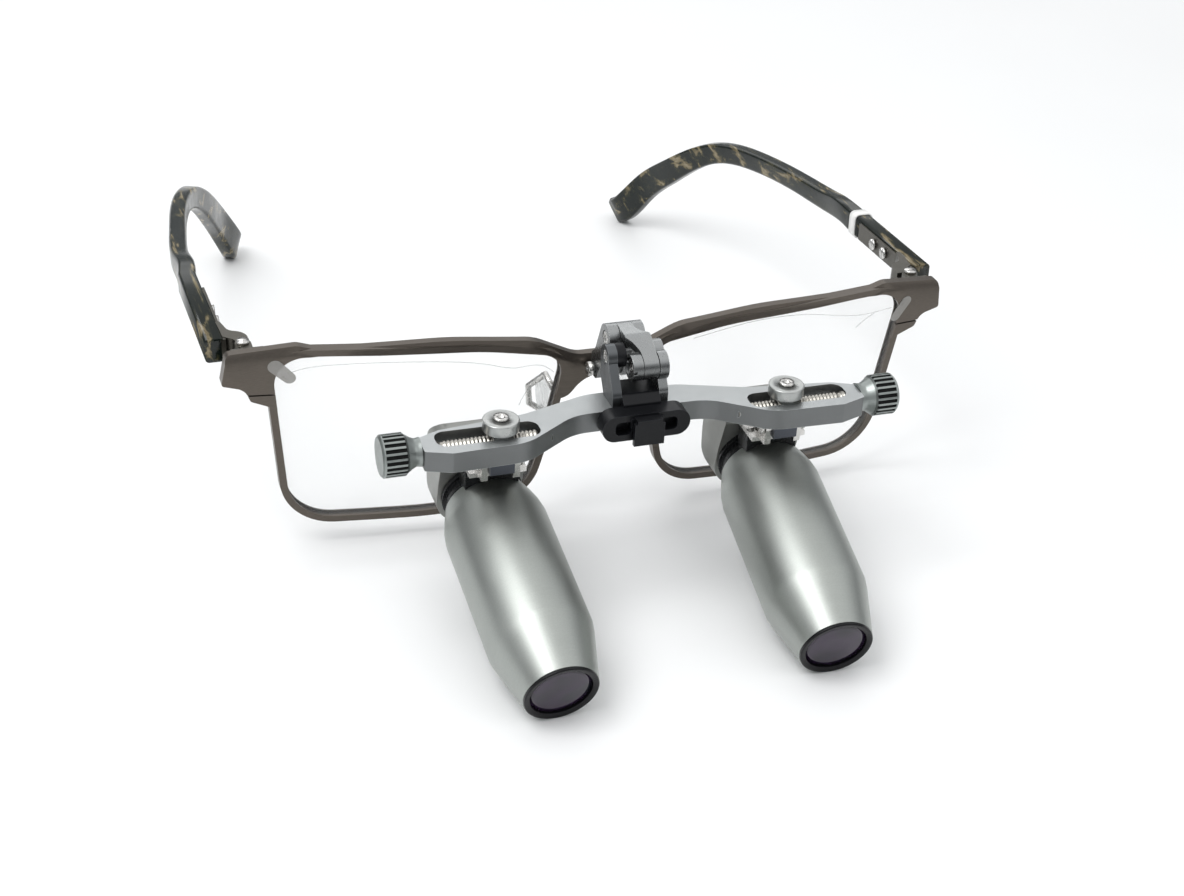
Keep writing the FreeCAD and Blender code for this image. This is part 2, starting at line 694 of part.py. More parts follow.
def light_mount():
    """Black adapter block in front of the bar, with a hanging rail for a headlight."""
    back = bar_centre_y - bar_centre_half_width - 0.02
    middle = bar_bottom + mount_rise
    rise = mount_height / 2
    reach = mount_width / 2
    face = [(-reach, middle - rise, rise - 0.05), (reach, middle - rise, rise - 0.05),
            (reach, middle + rise, rise - 0.05), (-reach, middle + rise, rise - 0.05)]
    block = prism(face, "xz", back - mount_depth, back)
    inner = rail_half + 0.4
    for low, high in ((-inner - pocket_width, -inner), (inner, inner + pocket_width)):
        pocket = [(low, middle - 1.3, 0.9), (high, middle - 1.3, 0.9),
                  (high, middle + 1.3, 0.9), (low, middle + 1.3, 0.9)]
        block = block.cut(prism(pocket, "xz", back - mount_depth - 1, back - 1.4))
    front = back - mount_depth
    low = bar_bottom - 1.0
    rail = box(-rail_half, rail_half, front - rail_depth, front + 0.5, low, bar_bottom + 4.0)
    lip = front - rail_depth
    lips = box(-rail_half - 0.5, rail_half + 0.5, lip, lip + 0.9, low, bar_bottom + 3.3)
    top = box(-rail_half - 0.7, rail_half + 0.7, front - 0.3, back, middle, bar_top - 0.1)
    return joined([block, rail, lips, top]).cut(bar_blank()).cut(bar_saddle())


# ---------------------------------------------------------------- lead screws, knobs, sliders
def lead_screw():
    """Threaded rod; the thread is a row of ridges at the true pitch."""
    start = slot_inner + 0.5
    profile = [(slot_inner - 2.0, 0.0), (slot_inner - 2.0, journal_radius()), (start - 0.1, journal_radius()),
               (start - 0.1, screw_radius - thread_depth)]
    turns = int((slot_outer - start - 0.6) / thread_pitch)
    for i in range(turns):
        low = start + i * thread_pitch
        profile.append((low, screw_radius - thread_depth))
        profile.append((low + thread_pitch * 0.35, screw_radius))
        profile.append((low + thread_pitch * 0.55, screw_radius))
        profile.append((low + thread_pitch * 0.9, screw_radius - thread_depth))
    profile.append((slot_outer - 0.5, screw_radius - thread_depth))
    profile.append((slot_outer - 0.5, screw_radius))
    profile.append((bar_half_length + 2.0, screw_radius))
    profile.append((bar_half_length + 2.0, 0.0))
    screw = turned(profile)
    screw.rotate(V(0, 0, 0), V(0, 1, 0), 90)
    screw.translate(V(0, bar_axis_y, screw_z))
    return screw


def knob():
    """Fluted thumb knob with a waisted neck."""
    start = bar_half_length + side_gap
    shoulder = start + knob_neck_length
    end = shoulder + knob_length
    profile = [(start, 0.0), (start, knob_neck_radius), (start + 0.9, knob_neck_radius - 0.15),
               (start + 1.7, knob_neck_radius + 0.25), (shoulder, knob_radius - 0.35),
               (shoulder + 0.35, knob_radius),
               (end - 0.4, knob_radius), (end, knob_radius - 0.4), (end, 0.0)]
    body = turned(profile)
    cutters = []
    for i in range(knob_flutes):
        angle = 2 * math.pi * i / knob_flutes
        spot = V(knob_radius * math.cos(angle), knob_radius * math.sin(angle), shoulder + 0.15)
        cutters.append(Part.makeCylinder(flute_radius, knob_length - 0.75, spot))
    body = body.cut(Part.makeCompound(cutters))
    body = body.cut(Part.makeCylinder(screw_radius, 2.0 - side_gap + 0.02, V(0, 0, start - 0.02)))
    body.rotate(V(0, 0, 0), V(0, 1, 0), 90)
    body.translate(V(0, bar_axis_y, screw_z))
    return body


def slider():
    """Carriage that the lead screw drives along the slot."""
    half = slot_half_width - slider_side_gap
    low = bar_bottom - 0.1
    block = box(slider_x - slider_half, slider_x + slider_half, bar_axis_y - half, bar_axis_y + half,
                low, bar_top + 0.05)
    collar = Part.makeCylinder(2.3, disc_lift - 0.05, V(slider_x, bar_axis_y, bar_top + 0.05))
    block = block.fuse(collar).removeSplitter()
    block = block.cut(cylinder_x(screw_radius + running_gap, slider_x - 5, slider_x + 5, bar_axis_y, screw_z))
    screw_end = bar_top + disc_lift - disc_screw_reach
    return block.cut(Part.makeCylinder(0.8, 9, V(slider_x, bar_axis_y, screw_end)))


def slider_disc():
    """Round clamp disc on top of the carriage."""
    disc = Part.makeCylinder(disc_radius, disc_thickness, V(slider_x, bar_axis_y, bar_top + disc_lift))
    disc = disc.makeFillet(0.25, [edge for edge in disc.Edges if edge.BoundBox.ZLength < 0.01])
    return disc.cut(Part.makeCylinder(0.8, 9, V(slider_x, bar_axis_y, bar_top)))


def slider_screw():
    """Socket screw that holds the disc to the carriage."""
    top = bar_top + disc_lift + disc_thickness
    length = disc_thickness + disc_screw_reach
    shank = Part.makeCylinder(0.8, length, V(slider_x, bar_axis_y, top - length))
    head = Part.makeCylinder(disc_screw_radius, 0.45, V(slider_x, bar_axis_y, top))
    screw = shank.fuse(head).removeSplitter()
    centre = V(slider_x, bar_axis_y, top + 0.46)
    return screw.cut(hexagon_hole(disc_socket, 0.9, centre, V(0, 0, 1)))


def hinge_block():
    """Block under the carriage that the barrel's bracket tilts on."""
    side = [(tilt_pin_y - 2.1, bar_bottom - 0.1, 0.3), (tilt_pin_y + 2.4, bar_bottom - 0.1, 0.3),
            (tilt_pin_y + 2.0, tilt_pin_z - 1.3, 1.0), (tilt_pin_y - 2.1, tilt_pin_z - 1.7, 0.3)]
    block = prism(side, "yz", slider_x - tilt_block_half, slider_x + tilt_block_half)
    return block.cut(cylinder_x(tilt_pin_radius, slider_x - 5, slider_x + 5, tilt_pin_y, tilt_pin_z))


def hinge_pin():
    """Tilt pin with a turned head at each end."""
    reach = tilt_block_half + 1.45
    pin = cylinder_x(tilt_pin_radius, slider_x - reach, slider_x + reach, tilt_pin_y, tilt_pin_z)
    for low in (slider_x - reach - 0.6, slider_x + reach):
        pin = pin.fuse(cylinder_x(1.15, low, low + 0.6, tilt_pin_y, tilt_pin_z))
    return pin.removeSplitter()


# ---------------------------------------------------------------- barrels
def barrel_frame(shape):
    """Carry a shape turned about Z (objective at 0, eye end up) onto the barrel's axis."""
    shape.translate(V(0, 0, -barrel_length))
    shape.rotate(V(0, 0, 0), V(1, 0, 0), -(90 - barrel_drop))
    shape.rotate(V(0, 0, 0), V(0, 0, 1), -barrel_toe)
    shape.translate(V(neck_x, neck_y, neck_z))
    return shape


def barrel_outer():
    return [(0.55, objective_radius + 0.1), (barrel_cone - 1.0, barrel_radius - 0.3),
            (barrel_cone + 0.6, barrel_radius), (barrel_length - 6.6, barrel_radius),
            (barrel_length - 4.6, barrel_radius - 0.3), (barrel_length - 2.4, barrel_radius - 0.95),
            (barrel_length, neck_radius + 0.15)]


def barrel():
    """Aluminium barrel: front cone, cylinder and rounded shoulder, bored through."""
    bore = [(height, radius - barrel_wall) for height, radius in reversed(barrel_outer())]
    bore[0] = (barrel_length, neck_radius - 1.6)
    bore[-1] = (0.55, objective_radius - 0.75)
    bore[-2] = (barrel_cone - 1.0, barrel_radius - barrel_wall - 0.3)
    return barrel_frame(turned(barrel_outer() + bore))


def objective_ring():
    """Black ring screwed into the barrel's front edge."""
    outer = objective_radius
    profile = [(0.0, outer - 0.15), (0.15, outer), (0.55, outer), (0.55, outer - 0.77), (3.0, outer - 0.77),
               (3.0, outer - 1.1), (0.3, outer - 1.1), (0.0, outer - 0.6)]
    return barrel_frame(turned(profile))


def objective_lens():
    """Convex front lens behind the ring."""
    radius = objective_radius - 1.12
    profile = [(0.45, 0.0), (0.52, radius * 0.5), (0.75, radius), (2.8, radius), (2.8, 0.0)]
    return barrel_frame(turned(profile))


def neck_ring():
    """Black collar behind the barrel with the foot that the bracket is screwed to."""
    start = barrel_length
    profile = [(start, neck_radius), (start + 0.5, neck_radius), (start + 0.8, neck_radius - 0.45),
               (start + neck_length - 0.9, neck_radius - 0.6), (start + neck_length - 0.8, neck_radius),
               (start + neck_length, neck_radius), (start + neck_length, 5.4), (start, 5.4)]
    ring = barrel_frame(turned(profile))
    envelope = [(start - 9.0, 0.0), (start - 9.0, barrel_radius + 0.05), (start - 6.6, barrel_radius + 0.05),
                (start - 4.6, barrel_radius - 0.25), (start - 2.4, barrel_radius - 0.9),
                (start, neck_radius + 0.2), (start, 0.0)]
    foot = box(neck_x - 4.9, neck_x + 4.9, -21.6, -17.4, 22.0, foot_top())
    foot = foot.cut(barrel_frame(turned(envelope)))
    bore = barrel_frame(turned([(start - 9, 0.0), (start - 9, 6.2), (start + 9, 6.2), (start + 9, 0.0)]))
    behind = barrel_frame(turned([(start + neck_length, 0.0), (start + neck_length, 30), (start + 30, 30),
                                  (start + 30, 0.0)]))
    return joined([ring, foot.cut(bore).cut(behind)])


def foot_top():
    return tilt_pin_z - 3.2


def barrel_bracket():
    """Metal bracket between the foot and the tilt pin, with wings and screw heads."""
    low = foot_top()
    plate = box(slider_x - 5.2, slider_x + 5.2, -24.6, -17.6, low, low + 0.9)
    pieces = [plate]
    for side in (-1, 1):
        inner = slider_x + side * (tilt_block_half + side_gap)
        outer = slider_x + side * (tilt_block_half + 1.3)
        start = min(inner, outer)
        end = max(inner, outer)
        ear = [(tilt_pin_y - 1.3, tilt_pin_z, 0), (tilt_pin_y - 0.9, low, 0), (tilt_pin_y + 4.6, low, 0),
               (tilt_pin_y + 4.2, low + 1.6, 1.0), (tilt_pin_y + 1.3, tilt_pin_z, 0)]
        pieces.append(prism(ear, "yz", start, end))
        pieces.append(cylinder_x(1.3, start, end, tilt_pin_y, tilt_pin_z))
        pieces.append(Part.makeCylinder(0.75, 0.5, V(slider_x + side * 4.35, -21.4, low + 0.9)))
    bracket = joined(pieces)
    pin_hole = cylinder_x(tilt_pin_radius + running_gap, slider_x - 9, slider_x + 9, tilt_pin_y, tilt_pin_z)
    return bracket.cut(pin_hole)


def housing_shape(inset):
    """Rounded block of the prism housing, or its hollow when inset by the wall."""
    def soft(radius):
        return max(0.3, radius - inset)
    side = [(-17.2 + inset, 27.0 - inset, soft(1.0)), (-12.6 + inset, 10.6 + inset, soft(1.5)),
            (-8.4 - inset, 12.2 + inset, soft(2.0)), (-6.8 - inset, 17.0, soft(3.0)),
            (-6.8 - inset, 28.0, soft(3.0)),
            (-9.4 - inset, 30.6 - inset, soft(2.0)), (-15.6 + inset, 30.6 - inset, soft(1.5))]
    half = housing_half_width - inset
    low = 10.9 + inset
    top = 30.6 - inset
    face = [(-half, low, soft(6.3)), (half, low, soft(6.3)), (half + 0.3, 21.0, 20.0), (half, top, soft(3.6)),
            (-half, top, soft(3.6)), (-half - 0.3, 21.0, 20.0)]
    block = prism(side, "yz", -20, 20).common(prism(face, "xz", -40, 10))
    block.translate(V(neck_x + 0.3, 0, 0))
    start = barrel_length + neck_length
    front = barrel_frame(turned([(start - 30, 0.0), (start - 30, 30), (start, 30), (start, 0.0)]))
    return block.cut(front)


def prism_housing():
    """Cast housing of the deflecting prism, open to the barrel and to the eyepiece."""
    shell = housing_shape(0).cut(housing_shape(housing_wall))
    start = barrel_length + neck_length
    mouth = barrel_frame(Part.makeCylinder(5.4, 4.0, V(0, 0, start - 1)))
    window = Part.makeCylinder(eyepiece_radius, 9, V(neck_x + 0.3, -9.5, eyepiece_z()), V(0, 1, 0))
    return shell.cut(mouth).cut(window)


def eyepiece_z():
    return 22.0


def prism_glass():
    """Glass prism that bends the view from the tilted barrel to the level eyepiece."""
    side = [(-13.2, 25.4, 0), (-11.4, 15.4, 0), (-8.6, 16.4, 0), (-8.6, 27.6, 0), (-11.6, 28.2, 0)]
    block = prism(side, "yz", -4.6, 4.6)
    block.translate(V(neck_x + 0.3, 0, 0))
    return block


def eyepiece_lens():
    """Eye lens in the back of the housing."""
    radius = eyepiece_radius - 0.02
    lens_disc = turned([(0.0, 0.0), (0.0, radius), (2.2, radius), (2.6, radius - 0.5), (2.3, 0.0)])
    lens_disc.rotate(V(0, 0, 0), V(1, 0, 0), -90)
    lens_disc.translate(V(neck_x + 0.3, -7.9, eyepiece_z()))
    return lens_disc


# ---------------------------------------------------------------- output
def build():
    parts["front_frame"] = front_frame()
    both_sides("lens", lens())
    both_sides("hinge_plate", hinge_plate())
    parts["hinge_screws"] = hinge_screws()
    both_sides("temple_sleeve", temple_sleeve())
    both_sides("temple_core", temple_core())
    both_sides("temple_rivets", temple_rivets())
    parts["temple_band"] = temple_band()
    both_sides("pad_arm", pad_arm())
    both_sides("nose_pad", nose_pad())
    parts["bridge_bracket"] = bridge_bracket()
    parts["bracket_screw"] = bracket_screw()
    parts["rear_pivot_pin"] = rear_pivot_pin()
    parts["pivot_link"] = pivot_link()
    parts["yoke_arm"] = yoke_arm()
    parts["yoke_plate"] = yoke_plate()
    parts["front_pivot_screw"] = front_pivot_screw()
    parts["pivot_ring"] = pivot_ring()
    parts["stop_boss"] = stop_boss()
    parts["stop_screw"] = stop_screw()
    parts["bar_saddle"] = bar_saddle()
    parts["crossbar"] = crossbar()
    parts["light_mount"] = light_mount()
    both_sides("lead_screw", lead_screw())
    both_sides("knob", knob())
    both_sides("slider", slider())
    both_sides("slider_disc", slider_disc())
    both_sides("slider_screw", slider_screw())
    both_sides("hinge_block", hinge_block())
    both_sides("hinge_pin", hinge_pin())
    both_sides("barrel_bracket", barrel_bracket())
    both_sides("neck_ring", neck_ring())
    both_sides("barrel", barrel())
    both_sides("objective_ring", objective_ring())
    both_sides("objective_lens", objective_lens())
    both_sides("prism_housing", prism_housing())
    both_sides("prism", prism_glass())
    both_sides("eyepiece_lens", eyepiece_lens())


def write_all():
    build()
    bounds = Part.makeCompound(list(parts.values())).optimalBoundingBox(True, False)
    shift = V(-(bounds.XMin + bounds.XMax) / 2, -(bounds.YMin + bounds.YMax) / 2, -bounds.ZMin)
    os.makedirs("parts", exist_ok=True)
    for name, shape in parts.items():
        shape.translate(shift)
        shape.exportStep("parts/" + name + ".step")
    print("moved by", shift.x, shift.y, shift.z, "size", bounds.XLength, bounds.YLength, bounds.ZLength)


write_all()
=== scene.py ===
import bpy
import bmesh
import math
from mathutils import Matrix, Vector


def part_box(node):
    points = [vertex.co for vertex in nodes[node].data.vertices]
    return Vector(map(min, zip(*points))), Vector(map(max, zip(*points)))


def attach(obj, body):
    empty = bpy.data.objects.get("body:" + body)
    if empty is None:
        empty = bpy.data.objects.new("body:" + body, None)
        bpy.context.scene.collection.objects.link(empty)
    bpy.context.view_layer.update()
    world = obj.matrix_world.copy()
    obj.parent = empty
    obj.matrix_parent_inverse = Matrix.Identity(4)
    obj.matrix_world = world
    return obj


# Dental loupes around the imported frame: materials, soft edges, lens films and the objectives' bright rings.
# Metres. +X is the wearer's left, the front faces -Y, +Z is up.

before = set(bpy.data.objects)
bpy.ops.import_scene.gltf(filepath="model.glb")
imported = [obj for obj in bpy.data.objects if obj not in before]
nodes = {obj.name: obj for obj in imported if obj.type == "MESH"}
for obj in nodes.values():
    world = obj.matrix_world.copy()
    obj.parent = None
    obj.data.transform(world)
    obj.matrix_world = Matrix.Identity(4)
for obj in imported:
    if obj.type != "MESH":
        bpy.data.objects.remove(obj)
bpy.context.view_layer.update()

MM = 0.001
SIDES = (("left", 1), ("right", -1))
BARREL_DROP = math.radians(15.2)
BARREL_TOE = math.radians(2.4)
LENS_FOCAL = 59.05
CAMERA_AT = (-108.881, -335.494, 209.518)
CAMERA_AZIMUTH = math.radians(-19.80)
CAMERA_ELEVATION = math.radians(31.34)
CAMERA_ROLL = math.radians(3.30)
OBJECTIVE_RADIUS = 6.65
FRONT_BOW = 495.0        # plan radius of the spectacle front
FRONT_LEAN = 0.109       # how far the front leans forward per millimetre of height
LEAN_HEIGHT = 42.0       # height at which the bow is measured
PIVOT_TO_FRONT = 6.45    # from the rear pivot back to the front's surface on its middle line
FILM_FACE = -0.10        # a film tab's faces, behind the front's surface
FILM_BACK = 0.05
FILM_LINE_DEPTH = 0.62
FILM_LINE_RADIUS = 0.07
WELD_DISTANCE = 0.000004
EDGE_ANGLE = 38          # edges sharper than this get a soft edge, degrees
SMOOTH_ANGLE = 32        # edges flatter than this are shaded smooth, degrees
BARREL_SMOOTH_ANGLE = 11
FLOOR_SIZE = 6.0


# ---------------------------------------------------------------- node helpers
class Paint:
    """A Principled material with procedural colour, roughness and bump."""

    def __init__(self, name, color, metallic=0.0, rough=0.4, coat=0.0, coat_rough=0.08, specular=0.5):
        self.mat = bpy.data.materials.new(name)
        self.mat.use_nodes = True
        self.tree = self.mat.node_tree
        self.bsdf = self.tree.nodes["Principled BSDF"]
        self.set("Base Color", (*color, 1.0))
        self.set("Metallic", metallic)
        self.set("Roughness", rough)
        self.set("Coat Weight", coat)
        self.set("Coat Roughness", coat_rough)
        self.set("Specular IOR Level", specular)
        self.color = color
        self.height = None
        coords = self.tree.nodes.new("ShaderNodeTexCoord")
        self.where = coords.outputs["Object"]
        self.facing = coords.outputs["Normal"]

    def set(self, socket, value):
        self.bsdf.inputs[socket].default_value = value

    def link(self, a, b):
        self.tree.links.new(a, b)

    def add(self, kind, **values):
        node = self.tree.nodes.new(kind)
        for key, value in values.items():
            setattr(node, key, value)
        return node

    def mapped(self, scale=(1, 1, 1), turn=(0, 0, 0)):
        """Object coordinates, turned and then scaled."""
        rotate = self.add("ShaderNodeMapping", vector_type="POINT")
        rotate.inputs["Rotation"].default_value = turn
        self.link(self.where, rotate.inputs["Vector"])
        stretch = self.add("ShaderNodeMapping", vector_type="POINT")
        stretch.inputs["Scale"].default_value = scale
        self.link(rotate.outputs[0], stretch.inputs["Vector"])
        return stretch.outputs[0]

    def noise(self, size, stretch=(1, 1, 1), turn=(0, 0, 0), detail=3.0, rough=0.55, distort=0.0):
        """Noise whose grain is about size metres, longer along a stretched axis."""
        tex = self.add("ShaderNodeTexNoise")
        tex.inputs["Scale"].default_value = 1.0
        tex.inputs["Detail"].default_value = detail
        tex.inputs["Roughness"].default_value = rough
        tex.inputs["Distortion"].default_value = distort
        scale = tuple(1.0 / (size * s) for s in stretch)
        self.link(self.mapped(scale, turn), tex.inputs["Vector"])
        return tex.outputs["Fac"]

    def ramp(self, source, stops):
        node = self.add("ShaderNodeValToRGB")
        ramp = node.color_ramp
        while len(ramp.elements) < len(stops):
            ramp.elements.new(0.5)
        for element, (place, color) in zip(ramp.elements, stops):
            element.position = place
            element.color = (*color, 1.0) if len(color) == 3 else color
        self.link(source, node.inputs["Fac"])
        return node.outputs["Color"]

    def spread(self, source, low, high):
        node = self.add("ShaderNodeMapRange")
        node.inputs["From Min"].default_value = 0.25
        node.inputs["From Max"].default_value = 0.75
        node.inputs["To Min"].default_value = low
        node.inputs["To Max"].default_value = high
        self.link(source, node.inputs["Value"])
        return node.outputs["Result"]

    def window(self, source, start, end):
        """0 below start, rising to 1 at end."""
        node = self.add("ShaderNodeMapRange")
        node.inputs["From Min"].default_value = start
        node.inputs["From Max"].default_value = end
        self.link(source, node.inputs["Value"])
        return node.outputs["Result"]

    def math(self, operation, a, b):
        node = self.add("ShaderNodeMath", operation=operation)
        for index, value in ((0, a), (1, b)):
            if isinstance(value, bpy.types.NodeSocket):
                self.link(value, node.inputs[index])
            else:
                node.inputs[index].default_value = value
        return node.outputs[0]

    def mix(self, factor, a, b, blend="MIX"):
        node = self.add("ShaderNodeMix", data_type="RGBA", blend_type=blend)
        for index, value in ((0, factor), (6, a), (7, b)):
            if isinstance(value, bpy.types.NodeSocket):
                self.link(value, node.inputs[index])
            elif index == 0:
                node.inputs[0].default_value = value
            else:
                node.inputs[index].default_value = (*value, 1.0)
        return node.outputs[2]

    def vary_color(self, source, amount):
        """Base colour a little darker and lighter with the source."""
        low = tuple(c * (1 - amount) for c in self.color)
        high = tuple(min(1.0, c * (1 + amount)) for c in self.color)
        out = self.ramp(source, [(0.3, low), (0.7, high)])
        self.paint(out)
        return out

    def paint(self, socket):
        self.link(socket, self.bsdf.inputs["Base Color"])

    def vary_rough(self, source, low, high):
        self.link(self.spread(source, low, high), self.bsdf.inputs["Roughness"])

    def bump(self, source, height, strength=1.0):
        node = self.add("ShaderNodeBump")
        node.inputs["Distance"].default_value = height
        node.inputs["Strength"].default_value = strength
        self.link(source, node.inputs["Height"])
        if self.height:
            self.link(self.height, node.inputs["Normal"])
        self.height = node.outputs["Normal"]
        self.link(self.height, self.bsdf.inputs["Normal"])

    def edge_highlight(self, base, highlight_color, radius, amount=0.7):
        """Painted highlight: lighter colour where the surface is sharply convex, standing in for glints on
        the edges.
        """
        bevel = self.add("ShaderNodeBevel", samples=4)
        bevel.inputs["Radius"].default_value = radius
        geometry = self.add("ShaderNodeNewGeometry")
        dot = self.add("ShaderNodeVectorMath", operation="DOT_PRODUCT")
        self.link(bevel.outputs["Normal"], dot.inputs[0])
        self.link(geometry.outputs["Normal"], dot.inputs[1])
        highlight_mask = self.add("ShaderNodeMapRange")
        highlight_mask.inputs["From Min"].default_value = 0.98
        highlight_mask.inputs["From Max"].default_value = 0.8
        highlight_mask.inputs["To Max"].default_value = amount
        self.link(dot.outputs["Value"], highlight_mask.inputs["Value"])
        out = self.mix(highlight_mask.outputs["Result"], base, highlight_color)
        self.paint(out)
        return out


# ---------------------------------------------------------------- materials
def gunmetal():
    """Brushed brown-grey plating of the spectacle front."""
    p = Paint("frame_gunmetal", (0.112, 0.097, 0.083), metallic=0.85, rough=0.34)
    streak = p.noise(0.00012, stretch=(60, 1, 1), detail=2.0)
    cloud = p.noise(0.005, stretch=(3, 1, 1), detail=3.0)
    base = p.mix(0.5, p.vary_color(streak, 0.14), p.vary_color(cloud, 0.1))
    # Painted highlight: a lighter brown on the front's convex edges, where the brow's bevels catch light.
    p.edge_highlight(base, (0.20, 0.175, 0.15), 0.00018, 0.5)
    p.vary_rough(cloud, 0.3, 0.42)
    p.bump(streak, 0.000012)
    return p.mat


def satin(name, color, rough=0.36, metallic=0.9, grain=0.00016, height=0.00001, tint=0.06,
          edge=0.0, flank_shade=1.0, specular=0.5):
    """Bead-blasted or anodised metal: fine grain, a faint cloud, painted shade on the faces that turn
    sideways in the object, darker as the side-face factor falls below 1, and a painted highlight on convex
    edges.
    """
    p = Paint(name, color, metallic=metallic, rough=rough, specular=specular)
    base = p.vary_color(p.noise(0.006, detail=4.0), tint)
    fine = p.noise(grain, detail=2.0)
    base = p.mix(0.3, base, p.vary_color(fine, tint * 1.5))
    # Painted shade: faces pointing sideways or down in the object are multiplied darker than upward faces.
    if flank_shade < 1.0:
        split = p.add("ShaderNodeSeparateXYZ")
        p.link(p.facing, split.inputs[0])
        lit_top = p.window(split.outputs["Z"], 0.35, 0.75)
        base = p.mix(lit_top, p.mix(1.0, base, (flank_shade, flank_shade, flank_shade), "MULTIPLY"), base)
    p.paint(base)
    # Painted highlight: convex edges get a lighter colour.
    if edge:
        p.edge_highlight(base, tuple(c * edge for c in color), 0.00016, 0.6)
    p.vary_rough(p.noise(0.0015, detail=3.0), rough - 0.05, rough + 0.06)
    p.bump(fine, height)
    return p.mat


def turned_metal(name, color, side, rough=0.41):
    """Blasted barrel: fine sparkle, soft clouds and faint marks round the axis."""
    p = Paint(name, color, metallic=1.0, rough=rough)
    turn = (0, 0, side * BARREL_TOE)
    rings = p.noise(0.0003, stretch=(30, 1, 30), turn=turn, detail=2.0)
    cloud = p.noise(0.008, stretch=(1, 2.5, 1), turn=turn, detail=3.0)
    fine = p.noise(0.00022, detail=2.0)
    cool = p.ramp(cloud, [(0.3, tuple(c * 0.88 for c in color)), (0.7, tuple(c * 1.06 for c in color))])
    marks = p.ramp(rings, [(0.3, tuple(c * 0.92 for c in color)), (0.7, tuple(c * 1.05 for c in color))])
    grain = p.ramp(fine, [(0.3, tuple(c * 0.86 for c in color)), (0.7, tuple(c * 1.1 for c in color))])
    p.paint(p.mix(0.35, p.mix(0.3, cool, marks), grain))
    p.vary_rough(cloud, rough - 0.04, rough + 0.05)
    p.bump(fine, 0.000012)
    p.bump(rings, 0.000003)
    return p.mat


def fluted(name, color, dark):
    """Knurled knob: satin metal with painted shade, a dark colour, in the grooves below the crests."""
    p = Paint(name, color, metallic=0.9, rough=0.34)
    low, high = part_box("knob_left")
    axis = (low + high) / 2
    offset = p.add("ShaderNodeVectorMath", operation="SUBTRACT")
    offset.inputs[1].default_value = axis
    p.link(p.where, offset.inputs[0])
    flat = p.add("ShaderNodeVectorMath", operation="MULTIPLY")
    flat.inputs[1].default_value = (0, 1, 1)
    p.link(offset.outputs[0], flat.inputs[0])
    radius = p.add("ShaderNodeVectorMath", operation="LENGTH")
    p.link(flat.outputs[0], radius.inputs[0])
    deep = p.window(radius.outputs["Value"], 0.00366, 0.00374)
    grip = p.window(radius.outputs["Value"], 0.0033, 0.00344)
    shape = p.add("ShaderNodeNewGeometry")
    axial = p.add("ShaderNodeVectorMath", operation="DOT_PRODUCT")
    axial.inputs[1].default_value = (1, 0, 0)
    p.link(shape.outputs["Normal"], axial.inputs[0])
    square = p.math("MULTIPLY", axial.outputs["Value"], axial.outputs["Value"])
    side = p.math("SUBTRACT", 1.0, p.window(square, 0.3, 0.6))
    # Painted shade: the grooves' band of radius on the side faces takes the dark colour.
    painted_groove_shade = p.math("MULTIPLY", p.math("SUBTRACT", grip, deep), side)
    base = p.vary_color(p.noise(0.0015, detail=4.0), 0.08)
    p.paint(p.mix(painted_groove_shade, base, dark))
    p.vary_rough(p.noise(0.001), 0.3, 0.42)
    p.bump(p.noise(0.00016, detail=2.0), 0.00001)
    return p.mat


def acetate():
    """Polished dark green-black acetate with olive and beige streaks along the temple."""
    p = Paint("temple_acetate", (0.012, 0.016, 0.013), rough=0.24, coat=0.12, coat_rough=0.06, specular=0.3)
    cells = p.noise(0.0020, stretch=(0.9, 7.0, 1.6), detail=4.0, rough=0.55, distort=0.5)
    veins = p.noise(0.0011, stretch=(0.8, 9.0, 1.0), detail=3.0, rough=0.6, distort=0.5)
    base = p.ramp(cells, [(0.0, (0.003, 0.006, 0.005)), (0.5, (0.005, 0.009, 0.007)),
                          (0.56, (0.030, 0.032, 0.016)),
                          (0.61, (0.24, 0.19, 0.10)), (0.67, (0.42, 0.35, 0.22)), (0.74, (0.05, 0.045, 0.02)),
                          (1.0, (0.008, 0.012, 0.009))])
    thin = p.ramp(veins, [(0.58, (0.004, 0.007, 0.006)), (0.68, (0.05, 0.046, 0.024)),
                          (0.76, (0.005, 0.009, 0.007))])
    p.paint(p.mix(0.4, base, thin))
    p.vary_rough(p.noise(0.003), 0.16, 0.28)
    p.bump(p.noise(0.0008, detail=2.0), 0.000006)
    return p.mat


def lens_glass():
    p = Paint("lens_clear", (0.93, 0.95, 0.95), rough=0.02)
    p.set("Alpha", 0.07)
    haze = p.noise(0.012, detail=3.0)
    p.vary_rough(haze, 0.0, 0.03)
    return p.mat


def film(name, color, alpha):
    """Thin protective film on the demonstration lens."""
    p = Paint(name, color, rough=0.3)
    p.set("Alpha", alpha)
    p.vary_color(p.noise(0.0015, detail=3.0), 0.08)
    p.vary_rough(p.noise(0.0008), 0.25, 0.4)
    return p.mat


def silicone():
    """Clear soft silicone of the nose pads."""
    p = Paint("pad_silicone", (0.72, 0.74, 0.73), rough=0.16)
    p.set("Transmission Weight", 0.3)
    p.set("IOR", 1.36)
    p.set("Alpha", 0.42)
    p.vary_rough(p.noise(0.002), 0.1, 0.24)
    p.bump(p.noise(0.0011, detail=2.0), 0.00003)
    return p.mat


def coated_glass():
    """Anti-reflection coating: near-black depth with a faint violet bloom."""
    p = Paint("optic_coated", (0.012, 0.007, 0.018), rough=0.05, coat=0.5, coat_rough=0.03, specular=0.35)
    bloom = p.noise(0.006, detail=1.0)
    p.paint(p.ramp(bloom, [(0.3, (0.006, 0.004, 0.012)), (0.55, (0.026, 0.012, 0.036)),
                           (0.75, (0.012, 0.016, 0.02))]))
    p.vary_rough(p.noise(0.004), 0.03, 0.08)
    return p.mat


